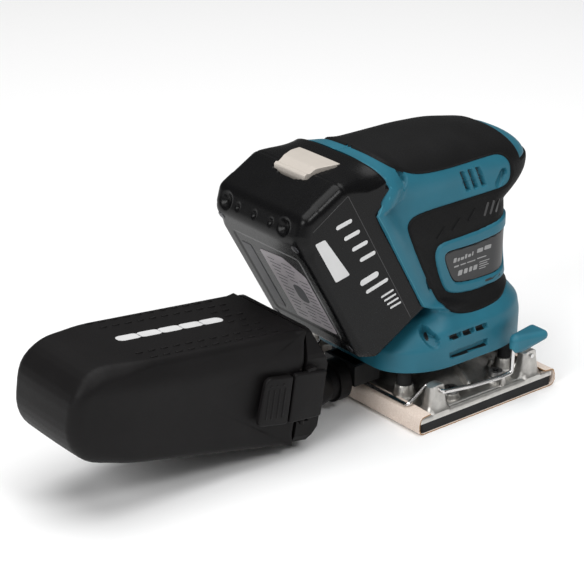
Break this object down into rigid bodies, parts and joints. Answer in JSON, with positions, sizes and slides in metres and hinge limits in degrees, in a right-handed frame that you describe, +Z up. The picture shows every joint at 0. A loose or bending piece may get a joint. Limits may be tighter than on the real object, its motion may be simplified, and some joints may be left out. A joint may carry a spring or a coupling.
{
  "type": "cordless finishing sander",
  "caption": "Cordless palm finishing sander with a rectangular orbiting pad, wire paper clamps, slide-on battery pack and plug-on dust box.",
  "frame": {"origin": "centre of the sanding face, the underside of the abrasive sheet", "axes": "+X towards the nose of the grip, +Y to the tool's left, +Z up, away from the work"},
  "size_m": [0.314, 0.126, 0.1545],
  "materials": {
    "abrasive_paper": "speckled grit on paper",
    "sole_rubber": "matte",
    "cast_aluminium": "die-cast, lightly polished edges",
    "dark_fasteners": "blackened",
    "bright_steel": "ground",
    "clamp_steel": "bright drawn wire",
    "teal_plastic": "satin moulded",
    "electrical_steel": "varnished laminations",
    "grip_elastomer": "fine-grained soft touch",
    "nameplate_film": "satin",
    "black_plastic": "moulded",
    "button_rubber": "matte",
    "circuit_board": "solder mask",
    "battery_black": "satin with glossy edges",
    "cell_wrap": "shrink sleeve on steel can",
    "cell_plastic": "moulded",
    "contact_brass": "bright",
    "label_film": "printed film",
    "cream_plastic": "satin",
    "dust_box_black": "matte moulded",
    "filter_paper": "pleated paper"
  },
  "bodies": {
    "housing": {"motor_stator": "electrical_steel", "upper_bearing": "bright_steel", "lower_bearing": "bright_steel", "motor_bracket": "black_plastic", "motor_cap": "black_plastic", "housing_right": "teal_plastic", "housing_left": "teal_plastic", "grip_cover_right": "grip_elastomer", "grip_cover_left": "grip_elastomer", "side_panel_right": "grip_elastomer", "side_panel_left": "grip_elastomer", "nameplate_frame_right": "teal_plastic", "nameplate_frame_left": "teal_plastic", "nameplate_right": "nameplate_film", "nameplate_left": "nameplate_film", "housing_screws": "dark_fasteners", "base_frame": "black_plastic", "dust_seal": "sole_rubber", "dust_spout": "black_plastic", "controller_board": "circuit_board", "terminal_block": "black_plastic", "tool_rails": "black_plastic", "control_panel": "black_plastic"},
    "pad": {"abrasive_sheet": "abrasive_paper", "sole_pad": "sole_rubber", "pad_plate": "cast_aluminium", "pad_screws": "dark_fasteners", "rubber_legs": "sole_rubber", "eccentric_bearing": "bright_steel", "bearing_retainer": "bright_steel", "retainer_screws": "dark_fasteners"},
    "rear_clamp": {"rear_clamp_wire": "clamp_steel", "rear_clamp_knob": "teal_plastic"},
    "front_clamp": {"front_clamp_wire": "clamp_steel", "front_clamp_knob": "teal_plastic"},
    "rotor": {"motor_shaft": "bright_steel", "rotor_core": "electrical_steel", "cooling_fan": "black_plastic", "counterweight": "electrical_steel"},
    "battery": {"battery_case": "battery_black", "battery_cover": "battery_black", "battery_cells": "cell_wrap", "cell_holders": "cell_plastic", "battery_board": "circuit_board", "battery_terminals": "contact_brass", "battery_screws": "dark_fasteners", "battery_label": "label_film", "button_spring": "bright_steel"},
    "release": {"release_button": "cream_plastic"},
    "power_switch": {"power_button": "button_rubber"},
    "box_cover": {"dust_nozzle": "dust_box_black", "nozzle_seal": "sole_rubber", "dust_box_cover": "dust_box_black", "dust_filter": "filter_paper", "filter_frame": "black_plastic"},
    "box_shell": {"dust_box_shell": "dust_box_black"},
    "right_latch": {"latch_right": "dust_box_black"},
    "left_latch": {"latch_left": "dust_box_black"}
  },
  "joints": [
    {"name": "motor_spin", "type": "hinge", "parent": "housing", "child": "rotor", "pos_m": [-0.00075, 0, 0.08], "axis": [0, 0, 1], "continuous": true},
    {"name": "pad_orbit", "type": "hinge", "parent": "rotor", "child": "pad", "pos_m": [0, 0, 0.02], "axis": [0, 0, 1], "continuous": true},
    {"name": "rear_clamp_lever", "type": "hinge", "parent": "pad", "child": "rear_clamp", "pos_m": [-0.035, 0, 0.0218], "axis": [0, 1, 0], "range_deg": [0, 4.5], "stiffness_Nm_per_rad": 2, "springref_deg": -5.73},
    {"name": "front_clamp_lever", "type": "hinge", "parent": "pad", "child": "front_clamp", "pos_m": [0.035, 0, 0.0218], "axis": [0, -1, 0], "range_deg": [0, 4.5], "stiffness_Nm_per_rad": 2, "springref_deg": -5.73},
    {"name": "battery_slide", "type": "slide", "parent": "housing", "child": "battery", "axis": [-0.4894, 0, 0.8721], "range_m": [0, 0.08]},
    {"name": "release_press", "type": "slide", "parent": "battery", "child": "release", "axis": [0.4894, 0, -0.8721], "range_m": [0, 0.0025], "stiffness_N_per_m": 600, "springref_m": -0.003},
    {"name": "power_press", "type": "slide", "parent": "housing", "child": "power_switch", "axis": [-1, 0, 0], "range_m": [0, 0.001], "stiffness_N_per_m": 800, "springref_m": -0.002},
    {"name": "dust_box_pull", "type": "slide", "parent": "housing", "child": "box_cover", "axis": [-1, 0, 0], "range_m": [0, 0.03]},
    {"name": "shell_pull", "type": "slide", "parent": "box_cover", "child": "box_shell", "axis": [-0.9867, 0, 0.1625], "range_m": [0, 0.1]},
    {"name": "right_latch_press", "type": "hinge", "parent": "box_cover", "child": "right_latch", "pos_m": [-0.11541, -0.0367, 0.03673], "axis": [-0.1625, 0, -0.9867], "range_deg": [0, 2.5], "stiffness_Nm_per_rad": 0.5, "springref_deg": -5.73},
    {"name": "left_latch_press", "type": "hinge", "parent": "box_cover", "child": "left_latch", "pos_m": [-0.11541, 0.0367, 0.03673], "axis": [0.1625, 0, 0.9867], "range_deg": [0, 2.5], "stiffness_Nm_per_rad": 0.5, "springref_deg": -5.73}
  ],
  "couplings": [
    {"joint": "pad_orbit", "follows": "motor_spin", "ratio": -1}
  ]
}
